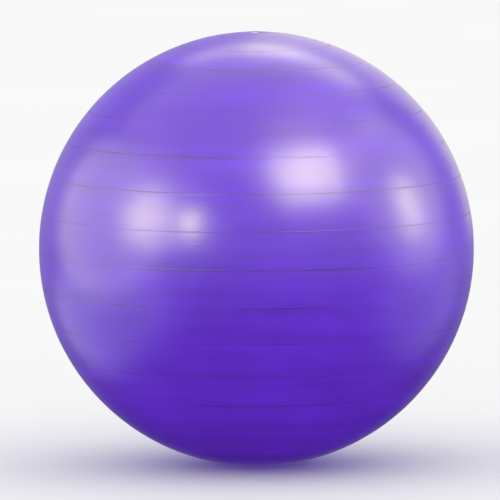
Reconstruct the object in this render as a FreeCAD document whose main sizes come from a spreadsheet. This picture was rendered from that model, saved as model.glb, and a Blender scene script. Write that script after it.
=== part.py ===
"""Exercise ball: an inflated PVC skin with ring ribs, a valve seat welded into its top, and the stopper.

Row frame: millimetres, +Z up along the ball's ring axis. The origin is the centre of the contact patch,
the small flat where the floor presses the skin at rest. The valve lies on the axis at the top.
"""

import FreeCAD, Part

import os

import Sketcher

# Driving dimensions: name, value, meaning. Lengths in millimetres, angles in degrees.
DIMENSIONS = [
    ("ball_diameter", 650.0, "inflated ball, over the smooth skin"),
    ("wall", 0.9, "thickness of the inflated skin"),
    ("patch_radius", 30.0, "contact patch, which the ball's own weight presses flat"),
    ("ring_pitch", 10.0, "latitude from one main rib to the next"),
    ("main_rib_width", 2.4, "main rib, across its foot"),
    ("main_rib_height", 0.2, "main rib, over the skin"),
    ("fine_rib_width", 1.6, "fine rib, across its foot"),
    ("fine_rib_height", 0.1, "fine rib, over the skin"),
    ("collar_radius", 12.0, "outside of the valve seat's collar, and the hole in the skin"),
    ("collar_drop", 0.22, "top of the sphere down to the collar's rim, which is flush with the skin"),
    ("dish_radius", 8.8, "round recess in the collar, for the stopper's head"),
    ("dish_depth", 2.8, "rim down to the floor of that recess"),
    ("flange_radius", 22.0, "weld flange, which lies against the inside of the skin"),
    ("flange_depth", 3.0, "rim down to the underside of the flange"),
    ("boss_radius", 13.5, "thicker middle of the seat, under the recess"),
    ("boss_depth", 4.6, "rim down to the underside of the boss"),
    ("seat_length", 22.0, "rim down to the end of the neck"),
    ("neck_top_radius", 8.4, "outside of the neck, under the boss"),
    ("neck_end_radius", 6.8, "outside of the neck, at its end"),
    ("bore_mouth_radius", 5.6, "tapered bore, at the floor of the recess"),
    ("bore_end_radius", 4.4, "tapered bore, at the end of the neck"),
    ("nail_radius", 4.4, "fingernail notch beside the recess"),
    ("nail_reach", 11.0, "axis out to the far side of the notch"),
    ("nail_depth", 2.0, "rim down to the floor of the notch"),
    ("seat_round", 0.4, "rounding of the seat's rim, flange and neck"),
    ("head_radius", 8.4, "stopper's head"),
    ("head_thickness", 2.2, "stopper's head"),
    ("head_round", 0.6, "rounding of the head's edges"),
    ("dimple_radius", 5.0, "shallow dimple in the head, at its edge"),
    ("dimple_floor_radius", 4.2, "shallow dimple in the head, at its floor"),
    ("dimple_depth", 0.5, "depth of the dimple"),
    ("stem_length", 21.0, "underside of the head down to the tip"),
    ("tip_radius", 3.2, "outside of the stem, at its tip"),
    ("stem_gap", 0.05, "sealing rings to the bore, on the radius"),
    ("first_seal", 2.0, "underside of the head down to the first sealing ring"),
    ("seal_spacing", 4.8, "one sealing ring to the next"),
    ("seal_land", 0.6, "height of a sealing ring's edge"),
    ("groove_depth", 0.7, "step above each sealing ring"),
    ("core_radius", 2.0, "hollow of the stem, open at the tip"),
    ("core_length", 16.0, "length of that hollow"),
]

LAST_MAIN_RIB = 8  # main ribs lie from this many pitches below the equator to as many above it
FINE_RIBS_PER_GAP = 2
SEALING_RINGS = 4

# Sizes worked out from the sheet, as expressions.
BALL_RADIUS = "(dims.ball_diameter / 2)"
INNER_RADIUS = f"({BALL_RADIUS} - dims.wall)"
CENTRE = f"sqrt({BALL_RADIUS}^2 - dims.patch_radius^2)"
RIM = f"({CENTRE} + {BALL_RADIUS} - dims.collar_drop)"


def bind(thing, **expressions):
    """Binds each property to an expression; a double underscore in its name stands for a dot."""
    for name, expression in expressions.items():
        thing.setExpression(name.replace("__", "."), expression)
    return thing


def make_sheet(doc):
    sheet = doc.addObject("Spreadsheet::Sheet", "dims")
    for row, (name, value, meaning) in enumerate(DIMENSIONS, start=1):
        sheet.set(f"A{row}", name)
        sheet.set(f"B{row}", str(value))
        sheet.set(f"C{row}", meaning)
        sheet.setAlias(f"B{row}", name)
    doc.recompute()


def value_of(doc, expression):
    return float(doc.dims.evalExpression(expression))


# The skin, from primitives and booleans


def sphere(doc, name, radius, flat_height):
    """A sphere about the ball's centre, cut flat at a height over the floor."""
    ball = doc.addObject("Part::Sphere", name)
    bind(ball, Radius=radius, Placement__Base__z=CENTRE)
    return bind(ball, Angle1=f"-asin(({CENTRE} - {flat_height}) / {radius})")


def rib(doc, name, latitude, width, height):
    """A rib round the ball: a ring of round section, whose crest stands over the skin by the height."""
    section = f"(({width}^2 / 4 + {height}^2) / (2 * {height}))"
    run = f"({BALL_RADIUS} + {height} - {section})"
    ring = doc.addObject("Part::Torus", name)
    bind(ring, Radius1=f"{run} * cos({latitude})", Radius2=section)
    return bind(ring, Placement__Base__z=f"{CENTRE} + {run} * sin({latitude})")


def make_ribs(doc):
    """Main ribs one pitch apart, with evenly spaced fine ribs between them."""
    steps = FINE_RIBS_PER_GAP + 1
    ribs = []
    for index in range(-LAST_MAIN_RIB * steps, LAST_MAIN_RIB * steps + 1):
        size = "fine" if index % steps else "main"
        name = f"{size}_rib_{len(ribs) + 1}"
        latitude = f"(dims.ring_pitch * {index} / {steps})"
        ribs.append(rib(doc, name, latitude, f"dims.{size}_rib_width", f"dims.{size}_rib_height"))
    return ribs


def make_ball_skin(doc):
    """One moulding: a ribbed sphere with a flat on the floor, its hollow, and a round hole at the top."""
    ribbed = doc.addObject("Part::MultiFuse", "ribbed_sphere")
    ribbed.Shapes = [sphere(doc, "smooth_sphere", BALL_RADIUS, "0"), *make_ribs(doc)]
    hole = doc.addObject("Part::Cylinder", "valve_hole")
    bind(hole, Radius="dims.collar_radius", Height="2 * dims.boss_depth")
    bind(hole, Placement__Base__z=f"{RIM} - dims.boss_depth")
    openings = doc.addObject("Part::MultiFuse", "hollow_and_hole")
    openings.Shapes = [sphere(doc, "hollow", INNER_RADIUS, "dims.wall"), hole]
    skin = doc.addObject("Part::Cut", "ball_skin")
    skin.Base = ribbed
    skin.Tool = openings
    return skin


# The valve's two pieces, turned about the axis. Their own heights are measured from the collar's rim.


def attach_sketch(body, name, role):
    sketch = body.newObject("Sketcher::SketchObject", name)
    plane = next(feature for feature in body.Origin.OriginFeatures if feature.Role == role)
    sketch.AttachmentSupport = (plane, [""])
    sketch.MapMode = "FlatFace"
    return sketch


def fix_point(sketch, line, end, name, radius, height):
    """Holds a line's end at a radius from the axis and at a height, both expressions."""
    if radius == "0":
        sketch.addConstraint(Sketcher.Constraint("PointOnObject", line, end, -2))
    else:
        across = sketch.addConstraint(Sketcher.Constraint("DistanceX", -1, 1, line, end, 1.0))
        sketch.renameConstraint(across, f"{name}_radius")
        sketch.setExpression(f"Constraints.{name}_radius", radius)
    along = sketch.addConstraint(Sketcher.Constraint("DistanceY", -1, 1, line, end, -1.0))
    sketch.renameConstraint(along, f"{name}_height")
    sketch.setExpression(f"Constraints.{name}_height", height)


def turned_body(doc, name, corners):
    """A body turned about the axis. The corners of its half section are pairs of radius and height."""
    body = doc.addObject("PartDesign::Body", name)
    bind(body, Placement__Base__z=RIM)
    sketch = attach_sketch(body, f"{name}_section", "XZ_Plane")
    places = [FreeCAD.Vector(value_of(doc, radius), value_of(doc, height)) for radius, height in corners]
    for start, end in zip(places, places[1:] + places[:1]):
        sketch.addGeometry(Part.LineSegment(start, end), False)
    for index, (radius, height) in enumerate(corners):
        previous = (index - 1) % len(corners)
        sketch.addConstraint(Sketcher.Constraint("Coincident", previous, 2, index, 1))
        fix_point(sketch, index, 1, f"corner_{index + 1}", radius, height)
    turned = body.newObject("PartDesign::Revolution", f"{name}_turned")
    turned.Profile = sketch
    turned.ReferenceAxis = (sketch, ["V_Axis"])
    turned.Angle = 360
    doc.recompute()
    return body


def round_edges(doc, body, name, radius, corners):
    """Rounds the turned edges that run through the given corners, each a radius and a height."""
    wanted = [(value_of(doc, across), value_of(doc, along)) for across, along in corners]
    turned = body.Tip
    edges = []
    for index, edge in enumerate(turned.Shape.Edges, start=1):
        if not isinstance(edge.Curve, Part.Circle):
            continue
        for across, along in wanted:
            if abs(edge.Curve.Radius - across) < 1e-6 and abs(edge.Curve.Center.z - along) < 1e-6:
                edges.append(f"Edge{index}")
    fillet = body.newObject("PartDesign::Fillet", name)
    fillet.Base = (turned, edges)
    bind(fillet, Radius=radius)
    doc.recompute()


def cut_nail_notch(doc, body):
    """A round notch beside the recess, so that a fingernail gets under the stopper's head."""
    sketch = attach_sketch(body, "nail_notch_outline", "XY_Plane")
    sketch.addGeometry(Part.Circle(FreeCAD.Vector(1, 0, 0), FreeCAD.Vector(0, 0, 1), 1), False)
    sketch.addConstraint(Sketcher.Constraint("PointOnObject", 0, 3, -1))
    away = sketch.addConstraint(Sketcher.Constraint("DistanceX", -1, 1, 0, 3, 1.0))
    size = sketch.addConstraint(Sketcher.Constraint("Radius", 0, 1.0))
    sketch.setExpression(f"Constraints[{away}]", "dims.nail_reach - dims.nail_radius")
    sketch.setExpression(f"Constraints[{size}]", "dims.nail_radius")
    pocket = body.newObject("PartDesign::Pocket", "nail_notch")
    pocket.Profile = sketch
    bind(pocket, Length="dims.nail_depth")
    doc.recompute()


def make_valve_seat(doc):
    """A soft grommet: a flush collar with a recess, a weld flange, a boss and a neck with a tapered bore."""

    def inside_of_skin(radius):
        return f"(sqrt({INNER_RADIUS}^2 - {radius}^2) - {BALL_RADIUS} + dims.collar_drop)"

    body = turned_body(doc, "valve_seat", [
        ("dims.bore_mouth_radius", "-dims.dish_depth"),
        ("dims.dish_radius", "-dims.dish_depth"),
        ("dims.dish_radius", "0"),
        ("dims.collar_radius", "0"),
        ("dims.collar_radius", inside_of_skin("dims.collar_radius")),
        ("dims.flange_radius", inside_of_skin("dims.flange_radius")),
        ("dims.flange_radius", "-dims.flange_depth"),
        ("dims.boss_radius", "-dims.flange_depth"),
        ("dims.boss_radius", "-dims.boss_depth"),
        ("dims.neck_top_radius", "-dims.boss_depth"),
        ("dims.neck_end_radius", "-dims.seat_length"),
        ("dims.bore_end_radius", "-dims.seat_length"),
    ])
    round_edges(doc, body, "seat_rounding", "dims.seat_round", [
        ("dims.dish_radius", "0"),
        ("dims.collar_radius", "0"),
        ("dims.flange_radius", "-dims.flange_depth"),
        ("dims.boss_radius", "-dims.boss_depth"),
        ("dims.neck_end_radius", "-dims.seat_length"),
    ])
    cut_nail_notch(doc, body)
    return body


def sealing_rings():
    """Corners of the stem's sealing rings, from the tip up: each ring's edge follows the bore's taper."""
    taper = "((dims.bore_mouth_radius - dims.bore_end_radius) / (dims.seat_length - dims.dish_depth))"
    corners = []
    for index in reversed(range(SEALING_RINGS)):
        depth = f"(dims.first_seal + {index} * dims.seal_spacing)"
        edge = f"(dims.bore_mouth_radius - dims.stem_gap - {taper} * {depth})"
        corners += [
            (f"{edge} - {taper} * dims.seal_land", f"-dims.dish_depth - {depth} - dims.seal_land"),
            (edge, f"-dims.dish_depth - {depth}"),
            (f"{edge} - dims.groove_depth", f"-dims.dish_depth - {depth}"),
        ]
    return corners


def make_valve_plug(doc):
    """The stopper: a flat head in the recess, and a hollow tapered stem whose rings seal in the bore."""
    tip = "-dims.dish_depth - dims.stem_length"
    head_top = "-dims.dish_depth + dims.head_thickness"
    rings = sealing_rings()
    stem_top_radius = rings[-1][0]
    body = turned_body(doc, "valve_plug", [
        ("0", f"{tip} + dims.core_length"),
        ("dims.core_radius", f"{tip} + dims.core_length"),
        ("dims.core_radius", tip),
        ("dims.tip_radius", tip),
        *rings,
        (stem_top_radius, "-dims.dish_depth"),
        ("dims.head_radius", "-dims.dish_depth"),
        ("dims.head_radius", head_top),
        ("dims.dimple_radius", head_top),
        ("dims.dimple_floor_radius", f"{head_top} - dims.dimple_depth"),
        ("0", f"{head_top} - dims.dimple_depth"),
    ])
    round_edges(doc, body, "head_rounding", "dims.head_round", [
        ("dims.head_radius", "-dims.dish_depth"),
        ("dims.head_radius", head_top),
        ("dims.tip_radius", tip),
    ])
    return body


def check(doc, sub_parts):
    """Stops before anything is written if a step failed, or a sub-part isn't one sound solid."""
    for thing in doc.Objects:
        if "Invalid" in thing.State or "Error" in thing.State:
            raise RuntimeError(f"{thing.Name} failed: {thing.State}")
    for thing in sub_parts:
        if thing.Shape.isNull() or not thing.Shape.isValid() or len(thing.Shape.Solids) != 1:
            raise RuntimeError(f"{thing.Label} is not one valid solid")
    if doc.nail_notch.Shape.Volume >= doc.seat_rounding.Shape.Volume:
        raise RuntimeError("the fingernail notch cut nothing")


def main():
    doc = FreeCAD.newDocument("exercise_ball")
    make_sheet(doc)
    sub_parts = [make_ball_skin(doc), make_valve_seat(doc), make_valve_plug(doc)]
    doc.recompute()
    check(doc, sub_parts)
    os.makedirs("parts", exist_ok=True)
    for thing in sub_parts:
        thing.Shape.exportStep(f"parts/{thing.Label}.step")
        print(f"{thing.Label}: {thing.Shape.Volume:.0f} mm3, {len(thing.Shape.Faces)} faces")


main()
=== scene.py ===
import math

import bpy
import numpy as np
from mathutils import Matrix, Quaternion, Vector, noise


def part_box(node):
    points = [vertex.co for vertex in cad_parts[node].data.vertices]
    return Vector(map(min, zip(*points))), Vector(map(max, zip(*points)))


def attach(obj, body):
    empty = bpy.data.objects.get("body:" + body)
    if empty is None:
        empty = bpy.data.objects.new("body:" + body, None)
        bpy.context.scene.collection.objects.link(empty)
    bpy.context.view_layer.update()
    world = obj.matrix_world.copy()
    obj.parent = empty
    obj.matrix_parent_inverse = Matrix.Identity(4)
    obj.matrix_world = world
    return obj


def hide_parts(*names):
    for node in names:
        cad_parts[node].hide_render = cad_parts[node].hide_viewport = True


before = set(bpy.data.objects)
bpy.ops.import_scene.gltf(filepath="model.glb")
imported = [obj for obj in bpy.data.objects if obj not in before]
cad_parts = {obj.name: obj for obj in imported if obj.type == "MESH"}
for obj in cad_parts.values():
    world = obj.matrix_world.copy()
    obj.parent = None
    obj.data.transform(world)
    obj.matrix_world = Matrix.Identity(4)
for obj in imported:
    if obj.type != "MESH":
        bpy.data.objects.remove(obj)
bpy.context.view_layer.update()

# Looks of the exercise ball: a purple satin PVC skin with ring ribs, the valve seat welded into its top
# and the stopper, on a pale studio floor. Lengths in metres, +Z up, floor at z = 0. Latitudes are in radians
# from the ball's middle, and the lights' places and sizes are in degrees.

# Sizes of the skin. The ball's own size comes from the frame, whose box reaches over the main ribs.
CAD_RIB_HEIGHT = 0.0002
MAIN_RIB_WIDTH, MAIN_RIB_HEIGHT = 0.0024, 0.00012
FINE_RIB_WIDTH, FINE_RIB_HEIGHT = 0.0016, 0.00004
MAIN_RIB_ROWS = (0.3, 0.65, 1.0, 1.3)  # rows beside a rib's crest, in half widths
FINE_RIB_ROWS = (0.6, 1.0, 1.4)
RIB_PITCH = math.radians(10)
LAST_MAIN_RIB = 8  # main ribs lie from this many pitches below the equator to as many above it
FINE_RIBS_PER_GAP = 2
WALL = 0.0009
PATCH_RADIUS = 0.030
HOLE_RADIUS = 0.012
EDGE_ROUND = 0.0003
BAND_BULGE = 0.00012  # how far the skin bellies out between two main ribs
PRINT_WIDTH, PRINT_HEIGHT = 0.006, 0.0003  # raised ring over the edge of the seat's weld flange
WAVE_HEIGHT = 0.00010  # unevenness of the inflated skin
WAVES_PER_METRE = 7
WAVES_FLATTENED = 1.6  # waves are this many times as long round the ball as they are high
WAVES_START = 0.01  # above the floor
WAVES_FADE = 0.08  # from the axis, so that the valve sits in a true round

# How finely the skin is divided
COLUMNS = 180
INNER_ROWS = 36
POLAR_ROWS = 6  # steps from the lowest main rib to the patch; from the highest to the print, one fewer
PRINT_ROWS = 7
TOP_ROWS = 4  # between the weld's print and the hole
PATCH_SHARES = (0.25, 0.5, 0.75, 0.94)  # rings of the flat patch, in shares of its radius
EDGE_TURNS = (30, 60, 90)  # rows round the hole's edge, in degrees

skin_low, skin_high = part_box("ball_skin")
seat_low, seat_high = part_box("valve_seat")
RADIUS = (skin_high.x - skin_low.x) / 2 - CAD_RIB_HEIGHT
CENTRE = Vector((0, 0, math.sqrt(RADIUS ** 2 - PATCH_RADIUS ** 2)))
FLANGE_RADIUS = (seat_high.y - seat_low.y) / 2


# The skin


def bump(offset, width, height):
    """Height of a rounded rib at a distance from its crest."""
    share = 2 * offset / width
    return height * (1 - share * share) ** 2 if abs(share) < 1 else 0.0


def ribs():
    """Latitude, width and height of every rib, from the lowest up."""
    steps = FINE_RIBS_PER_GAP + 1
    for index in range(-LAST_MAIN_RIB * steps, LAST_MAIN_RIB * steps + 1):
        latitude = RIB_PITCH * index / steps
        if index % steps:
            yield latitude, FINE_RIB_WIDTH, FINE_RIB_HEIGHT
        else:
            yield latitude, MAIN_RIB_WIDTH, MAIN_RIB_HEIGHT


def relief(latitude):
    """Height of the relief over the smooth sphere: ribs, bands that belly out, and the weld's print."""
    height = sum(bump((latitude - rib) * RADIUS, width, high) for rib, width, high in ribs())
    if abs(latitude) < LAST_MAIN_RIB * RIB_PITCH:
        share = (latitude / RIB_PITCH) % 1
        height += BAND_BULGE * 4 * share * (1 - share)
    from_axis = RADIUS * math.cos(latitude)
    if latitude > 0 and from_axis < FLANGE_RADIUS + PRINT_WIDTH:
        height += bump(from_axis - FLANGE_RADIUS, PRINT_WIDTH, PRINT_HEIGHT)
    return height


def outer_latitudes():
    """Rows of the outer surface: close together on the ribs, wider between them."""
    rows = []
    steps = FINE_RIBS_PER_GAP + 1
    for latitude, width, _ in ribs():
        across = MAIN_RIB_ROWS if width == MAIN_RIB_WIDTH else FINE_RIB_ROWS
        rows += [latitude + side * share * width / 2 / RADIUS for share in across for side in (-1, 1)]
        rows += [latitude, latitude + RIB_PITCH / steps / 2]
    last_row = LAST_MAIN_RIB * RIB_PITCH + MAIN_RIB_ROWS[-1] * MAIN_RIB_WIDTH / 2 / RADIUS
    rows = [row for row in rows if row <= last_row]
    patch = math.acos(PATCH_RADIUS / RADIUS)
    rows += list(np.linspace(-patch, -last_row, POLAR_ROWS + 1)[:-1])
    rows += [-math.acos(PATCH_RADIUS * share / RADIUS) for share in PATCH_SHARES]
    hole = math.acos((HOLE_RADIUS + EDGE_ROUND) / RADIUS)
    print_low = math.acos((FLANGE_RADIUS + PRINT_WIDTH / 2) / RADIUS)
    print_high = math.acos((FLANGE_RADIUS - PRINT_WIDTH / 2) / RADIUS)
    rows += list(np.linspace(last_row, print_low, POLAR_ROWS)[1:-1])
    rows += list(np.linspace(print_low, print_high, PRINT_ROWS))
    rows += list(np.linspace(print_high, hole, TOP_ROWS + 1)[1:])
    return sorted(rows)


def skin_profile():
    """Half section of the skin in two lists: the outside from the patch up, then the hole and the inside."""
    outside = []
    for latitude in outer_latitudes():
        reach = RADIUS + relief(latitude)
        outside.append((reach * math.cos(latitude), max(0.0, CENTRE.z + reach * math.sin(latitude))))
    top = outside[-1][1]
    edge = []
    for turn in EDGE_TURNS:
        angle = math.radians(turn)
        across = HOLE_RADIUS + EDGE_ROUND * (1 - math.sin(angle))
        edge.append((across, top - EDGE_ROUND * (1 - math.cos(angle))))
    inner = RADIUS - WALL
    inner_hole = math.acos(HOLE_RADIUS / inner)
    inner_patch = math.acos(PATCH_RADIUS / inner)
    inside = []
    for latitude in np.linspace(inner_hole, -inner_patch, INNER_ROWS):
        inside.append((inner * math.cos(latitude), CENTRE.z + inner * math.sin(latitude)))
    inside[-1] = (PATCH_RADIUS, WALL)
    return outside, edge + inside


def turned_mesh(name, profile, columns, shift):
    """A closed mesh turned from a profile, with its points moved by shift. Its ends close on the axis."""
    angles = np.arange(columns) * 2 * math.pi / columns
    outline = np.array(profile)
    rings = np.empty((len(profile), columns, 3))
    rings[:, :, 0] = outline[:, :1] * np.cos(angles)
    rings[:, :, 1] = outline[:, :1] * np.sin(angles)
    rings[:, :, 2] = outline[:, 1:]
    rings = shift(rings)
    along = np.concatenate([[0], np.cumsum(np.hypot(*np.diff(outline, axis=0).T))])
    around = np.roll(rings, -1, axis=1) - np.roll(rings, 1, axis=1)
    normals = np.cross(around, np.gradient(rings, along, axis=0)).reshape(-1, 3)
    normals /= np.linalg.norm(normals, axis=1, keepdims=True)
    normals = np.vstack([normals, [[0, 0, -1], [0, 0, 1]]])
    first_end = columns * len(profile)
    last_end = first_end + 1
    ends = [[0, 0, outline[0, 1]], [0, 0, outline[-1, 1]]]
    faces = []
    for row in range(len(profile) - 1):
        for column in range(columns):
            beside = (column + 1) % columns
            low, high = row * columns, (row + 1) * columns
            faces.append((low + column, low + beside, high + beside, high + column))
    top = (len(profile) - 1) * columns
    for column in range(columns):
        beside = (column + 1) % columns
        faces.append((first_end, beside, column))
        faces.append((last_end, top + column, top + beside))
    mesh = bpy.data.meshes.new(name)
    mesh.from_pydata(rings.reshape(-1, 3).tolist() + ends, [], faces)
    mesh.shade_smooth()
    mesh.normals_split_custom_set_from_vertices(normals.tolist())
    thing = bpy.data.objects.new(name, mesh)
    bpy.context.scene.collection.objects.link(thing)
    return thing


def make_skin():
    outside, inside = skin_profile()

    def waves(rings):
        """Moves the outside in and out a little, as an inflated skin is never a true sphere."""
        for row in range(len(outside)):
            for column in range(COLUMNS):
                place = Vector(rings[row, column])
                if place.z < WAVES_START:
                    continue
                from_axis = math.hypot(place.x, place.y)
                fade = min(1.0, from_axis / WAVES_FADE) if place.z > CENTRE.z else 1.0
                wave = noise.noise(Vector((place.x, place.y, place.z * WAVES_FLATTENED)) * WAVES_PER_METRE)
                rings[row, column] = place + (place - CENTRE).normalized() * (WAVE_HEIGHT * fade * wave)
        return rings

    return turned_mesh("skin", outside + inside, COLUMNS, waves)


# Materials

RIB_SHADE_AND_WEAR_HALF_WIDTH = 0.0017  # line along a main rib's crest that has painted shade and is rougher there
# How much the painted shade darkens the colour on the rib lines, and how much rougher those lines are
RIB_SHADE_DARKENS, WEAR_ROUGHENS = 0.6, 0.1
VINYL_GRAINS, VINYL_GRAIN_HEIGHT = 700, 0.000012  # grains in a metre, and their height
PLASTIC_GRAINS, PLASTIC_GRAIN_HEIGHT = 1500, 0.00003


class Nodes:
    """Short calls for building one material's nodes."""

    def __init__(self, name):
        self.material = bpy.data.materials.new(name)
        self.material.use_nodes = True
        self.tree = self.material.node_tree
        self.shader = self.tree.nodes["Principled BSDF"]

    def add(self, kind, **values):
        """A new node, with its inputs or its properties set by name."""
        node = self.tree.nodes.new(kind)
        for name, value in values.items():
            if name in node.inputs:
                node.inputs[name].default_value = value
            else:
                setattr(node, name, value)
        return node

    def link(self, source, target):
        self.tree.links.new(source, target)

    def place(self, stretch=(1, 1, 1)):
        """The point on the piece, in metres, stretched along each axis."""
        where = self.add("ShaderNodeTexCoord")
        mapping = self.add("ShaderNodeMapping")
        mapping.inputs["Scale"].default_value = stretch
        self.link(where.outputs["Object"], mapping.inputs["Vector"])
        return mapping.outputs["Vector"]

    def noise(self, where, scale, detail, roughness=0.5):
        """Smooth noise from 0 to 1; scale is its features per metre."""
        texture = self.add("ShaderNodeTexNoise", Scale=scale, Detail=detail, Roughness=roughness)
        self.link(where, texture.inputs["Vector"])
        return texture.outputs["Fac"]

    def ramp(self, factor, low, high):
        """A colour that goes from low to high over the middle third of the factor."""
        ramp = self.add("ShaderNodeValToRGB")
        for element, place, colour in zip(ramp.color_ramp.elements, (0.35, 0.65), (low, high)):
            element.position = place
            element.color = (*colour, 1)
        self.link(factor, ramp.inputs["Fac"])
        return ramp.outputs["Color"]

    def spread(self, factor, low, high, start=0.3, end=0.7):
        """A number that goes from low to high as the factor goes from start to end."""
        spread = self.add("ShaderNodeMapRange")
        for name, value in (("From Min", start), ("From Max", end), ("To Min", low), ("To Max", high)):
            spread.inputs[name].default_value = value
        self.link(factor, spread.inputs["Value"])
        return spread.outputs["Result"]

    def maths(self, operation, *values):
        """A sum on numbers or on other nodes' results."""
        node = self.add("ShaderNodeMath", operation=operation)
        for socket, value in zip(node.inputs, values):
            if isinstance(value, (int, float)):
                socket.default_value = value
            else:
                self.link(value, socket)
        return node.outputs["Value"]

    def vectors(self, operation, first, second=None):
        """The same on vectors and colours."""
        node = self.add("ShaderNodeVectorMath", operation=operation)
        self.link(first, node.inputs[0])
        if second:
            node.inputs[1].default_value = second
        return node

    def ring_lines(self, half_width):
        """One on the crest of each main rib, down to nothing at half_width metres beside it."""
        where = self.add("ShaderNodeTexCoord").outputs["Object"]
        from_middle = self.vectors("SUBTRACT", where, CENTRE).outputs["Vector"]
        outwards = self.vectors("NORMALIZE", from_middle).outputs["Vector"]
        split = self.add("ShaderNodeSeparateXYZ")
        self.link(outwards, split.inputs["Vector"])
        latitude = self.maths("ARCSINE", split.outputs["Z"])
        beside = self.maths("PINGPONG", latitude, RIB_PITCH / 2)
        return self.spread(beside, 1.0, 0.0, 0.0, half_width / RADIUS)

    def bump(self, height, distance):
        """A grain whose height goes from nothing to distance, in metres."""
        bump = self.add("ShaderNodeBump", Strength=1.0, Distance=distance)
        self.link(height, bump.inputs["Height"])
        return bump.outputs["Normal"]

    def set(self, **values):
        """Sets the shader's uniform values."""
        for name, value in values.items():
            self.shader.inputs[name.replace("_", " ")].default_value = value


def vinyl(name, low, high, ringed=False):
    """Satin soft PVC: clouded colour, fine grain and rubbed patches. If ringed, it also has streaks, and
    painted shade along the main ribs' crests, which are rougher there.
    """
    nodes = Nodes(name)
    where = nodes.place()
    colour = nodes.ramp(nodes.noise(where, 9, 2), low, high)
    rubbed = nodes.noise(nodes.place((1, 1, 2.2)), 26, 4, 0.6)
    roughness = nodes.spread(rubbed, 0.285, 0.32)
    if ringed:
        patchy = nodes.spread(nodes.noise(nodes.place((1, 1, 4)), 9, 3), 0.1, 1.0, 0.38, 0.65)
        # Painted shade: a dark line along each main rib's crest, in patches. The same mask makes the crest
        # rougher.
        rib_shade_and_wear = nodes.maths("MULTIPLY", nodes.ring_lines(RIB_SHADE_AND_WEAR_HALF_WIDTH), patchy)
        streaks = nodes.spread(nodes.noise(nodes.place((1, 1, 16)), 3.2, 3), 0.91, 1.11)
        # The colour is darkened by the rib lines' painted shade and streaked at random
        darker = nodes.vectors("SCALE", colour)
        nodes.link(nodes.maths("MULTIPLY_ADD", rib_shade_and_wear, -RIB_SHADE_DARKENS, streaks), darker.inputs["Scale"])
        colour = darker.outputs["Vector"]
        roughness = nodes.maths("MULTIPLY_ADD", rib_shade_and_wear, WEAR_ROUGHENS, roughness)
    nodes.link(colour, nodes.shader.inputs["Base Color"])
    nodes.link(roughness, nodes.shader.inputs["Roughness"])
    grain = nodes.noise(where, VINYL_GRAINS, 1)
    nodes.link(nodes.bump(grain, VINYL_GRAIN_HEIGHT), nodes.shader.inputs["Normal"])
    nodes.set(IOR=1.53)
    return nodes.material


def stopper_plastic():
    """Moulded off-white polyethylene, a little waxy."""
    nodes = Nodes("stopper_plastic")
    where = nodes.place()
    clouds = nodes.noise(where, 120, 3)
    nodes.link(nodes.ramp(clouds, (0.60, 0.59, 0.56), (0.68, 0.67, 0.65)), nodes.shader.inputs["Base Color"])
    nodes.link(nodes.spread(clouds, 0.32, 0.46), nodes.shader.inputs["Roughness"])
    grain = nodes.noise(where, PLASTIC_GRAINS, 2)
    nodes.link(nodes.bump(grain, PLASTIC_GRAIN_HEIGHT), nodes.shader.inputs["Normal"])
    nodes.set(IOR=1.51, Subsurface_Weight=0.2, Subsurface_Scale=0.002)
    return nodes.material


def paint(thing, material):
    thing.data.materials.clear()
    thing.data.materials.append(material)


# Studio

PHOTO_ELEVATION = 5.8  # degrees that the camera looks down
BACK = Vector((0, -math.cos(math.radians(PHOTO_ELEVATION)), math.sin(math.radians(PHOTO_ELEVATION))))
LENS, SENSOR = 900, 36  # millimetres; so long a lens sees the ball almost without perspective
CLIP_START, CLIP_END = 1, 200
BALL_SHARE = 0.8696  # the ball's width in the picture's width
FRAMING_RIGHT, FRAMING_UP = -0.0096, -0.0018  # where the camera aims, beside the ball's middle
ROLL = math.radians(-0.3)
FLOOR_REACH = 70
LIGHT_DISTANCE = 10
WHITE, PALE_YELLOW = (1, 1, 1), (1, 1, 0.3)


def make_floor():
    """A pale floor that only the camera sees: it doesn't tint the ball or hide what the ball reflects."""
    mesh = bpy.data.meshes.new("floor")
    reach = FLOOR_REACH
    corners = [(-reach, -reach, 0), (reach, -reach, 0), (reach, reach, 0), (-reach, reach, 0)]
    mesh.from_pydata(corners, [], [(0, 1, 2, 3)])
    floor = bpy.data.objects.new("floor", mesh)
    bpy.context.scene.collection.objects.link(floor)
    nodes = Nodes("floor_paint")
    clouds = nodes.noise(nodes.place(), 1.5, 2)
    paint_colour = nodes.ramp(clouds, (0.785, 0.785, 0.785), (0.80, 0.80, 0.80))
    nodes.link(paint_colour, nodes.shader.inputs["Base Color"])
    nodes.set(Roughness=0.9, Specular_IOR_Level=0.1)
    paint(floor, nodes.material)
    floor.visible_diffuse = False
    floor.visible_glossy = False
    floor.visible_shadow = False


def make_world():
    """A white room: its light is even, and what it reflects fades out towards the floor."""
    world = bpy.data.worlds.new("studio")
    bpy.context.scene.world = world
    world.use_nodes = True
    tree = world.node_tree
    where = tree.nodes.new("ShaderNodeTexCoord")
    split = tree.nodes.new("ShaderNodeSeparateXYZ")
    tree.links.new(where.outputs["Generated"], split.inputs["Vector"])

    def by_height(*values):
        """A strength by the direction's height: lowest and highest height, then the strength at each."""
        spread = tree.nodes.new("ShaderNodeMapRange")
        for socket, value in zip(("From Min", "From Max", "To Min", "To Max"), values):
            spread.inputs[socket].default_value = value
        tree.links.new(split.outputs["Z"], spread.inputs["Value"])
        return spread.outputs["Result"]

    choice = tree.nodes.new("ShaderNodeMix")
    ray = tree.nodes.new("ShaderNodeLightPath")
    tree.links.new(ray.outputs["Is Glossy Ray"], choice.inputs["Factor"])
    tree.links.new(by_height(-0.85, -0.05, 0.46, 1.2), choice.inputs["A"])
    tree.links.new(by_height(-0.5, 0.1, 0.0, 0.6), choice.inputs["B"])
    tree.nodes["Background"].inputs["Color"].default_value = (1, 1, 1, 1)
    tree.links.new(choice.outputs["Result"], tree.nodes["Background"].inputs["Strength"])


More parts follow.
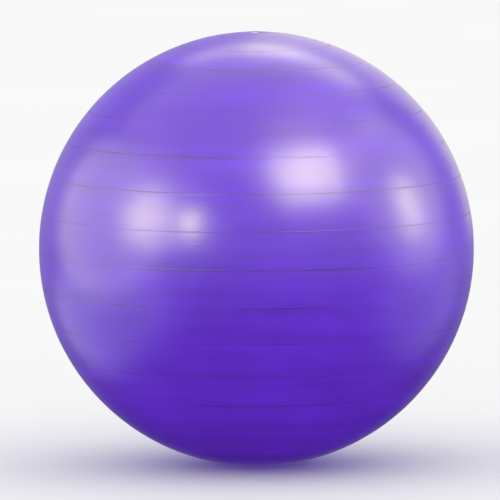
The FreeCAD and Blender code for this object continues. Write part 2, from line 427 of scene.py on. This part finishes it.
def make_panel(name, azimuth, elevation, wide, high, glow, shape="RECTANGLE", colour=PALE_YELLOW):
    """A panel that only reflects. Its place and size are degrees seen from the ball, 0 towards the camera."""
    turn, rise = math.radians(azimuth), math.radians(elevation)
    camera_up = Vector((0, math.sin(math.radians(PHOTO_ELEVATION)), math.cos(math.radians(PHOTO_ELEVATION))))
    level = Vector((math.sin(turn), 0, 0)) + BACK * math.cos(turn)
    away = (level * math.cos(rise) + camera_up * math.sin(rise)).normalized()
    light = bpy.data.lights.new(name, "AREA")
    light.shape = shape
    light.size = 2 * LIGHT_DISTANCE * math.tan(math.radians(wide / 2))
    light.size_y = 2 * LIGHT_DISTANCE * math.tan(math.radians(high / 2))
    area = light.size * light.size_y * (math.pi / 4 if shape == "ELLIPSE" else 1)
    light.energy = glow * math.pi * area
    light.color = colour
    panel = bpy.data.objects.new(name, light)
    panel.location = CENTRE + away * LIGHT_DISTANCE
    panel.rotation_mode = "QUATERNION"
    panel.rotation_quaternion = (-away).to_track_quat("-Z", "Y")
    panel.visible_camera = False
    panel.visible_diffuse = False
    bpy.context.scene.collection.objects.link(panel)
    return panel


def make_lights(pieces):
    """Panels that light these pieces alone, so that the floor stays even."""
    panels = [
        make_panel("ceiling", 0, 78, 100, 84, 1.4),
        make_panel("front_wall", 15, 8, 110, 44, 0.4),
        make_panel("front_softbox", 32.5, 38, 33, 24, 19),
        make_panel("ceiling_haze", 50, 67, 40, 24, 1.2, "ELLIPSE"),
        make_panel("right_softbox", 91, 15.5, 15, 20, 13),
        make_panel("left_softbox", -60, 14, 28, 24, 12.5, "ELLIPSE"),
        make_panel("left_spot", -35, 12.5, 4.5, 8.5, 110, "ELLIPSE"),
        make_panel("left_wall", -88, 11, 82, 56, 3, "ELLIPSE"),
        make_panel("left_haze", -72, 28, 44, 36, 0.8, "ELLIPSE"),
        make_panel("left_floor", -98, -24, 90, 34, 1.3, "ELLIPSE", WHITE),
        make_panel("right_wall", 90, 23, 60, 62, 2.4, "ELLIPSE"),
        make_panel("right_floor", 105, -16, 60, 40, 0.7, "ELLIPSE", WHITE),
        make_panel("back_strip", 159, 51, 31, 12, 4.8),
        make_panel("back_strip_end", -175, 49, 26, 10, 3.5),
        make_panel("backdrop", 163, 20, 30, 36, 0.9),
    ]
    lit = bpy.data.collections.new("lit_by_panels")
    for piece in pieces:
        lit.objects.link(piece)
    for panel in panels:
        panel.light_linking.receiver_collection = lit


def make_camera():
    data = bpy.data.cameras.new("camera")
    data.lens, data.sensor_width = LENS, SENSOR
    data.clip_start, data.clip_end = CLIP_START, CLIP_END
    camera = bpy.data.objects.new("camera", data)
    width = 2 * RADIUS / BALL_SHARE
    turn = (-BACK).to_track_quat("-Z", "Y") @ Quaternion((0, 0, 1), ROLL)
    aim = CENTRE + turn @ Vector((FRAMING_RIGHT, FRAMING_UP, 0))
    camera.location = aim + BACK * (LENS / SENSOR * width)
    camera.rotation_mode = "QUATERNION"
    camera.rotation_quaternion = turn
    bpy.context.scene.collection.objects.link(camera)
    bpy.context.scene.camera = camera


skin = make_skin()
paint(skin, vinyl("skin_vinyl", (0.107, 0.0135, 0.57), (0.119, 0.0155, 0.64), ringed=True))
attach(skin, "ball")
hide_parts("ball_skin")
seat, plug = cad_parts["valve_seat"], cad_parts["valve_plug"]
paint(seat, vinyl("seat_vinyl", (0.09, 0.020, 0.48), (0.105, 0.024, 0.54)))
paint(plug, stopper_plastic())

make_floor()
make_world()
make_lights([skin, seat, plug])
make_camera()
bpy.context.scene.view_settings.view_transform = "Standard"
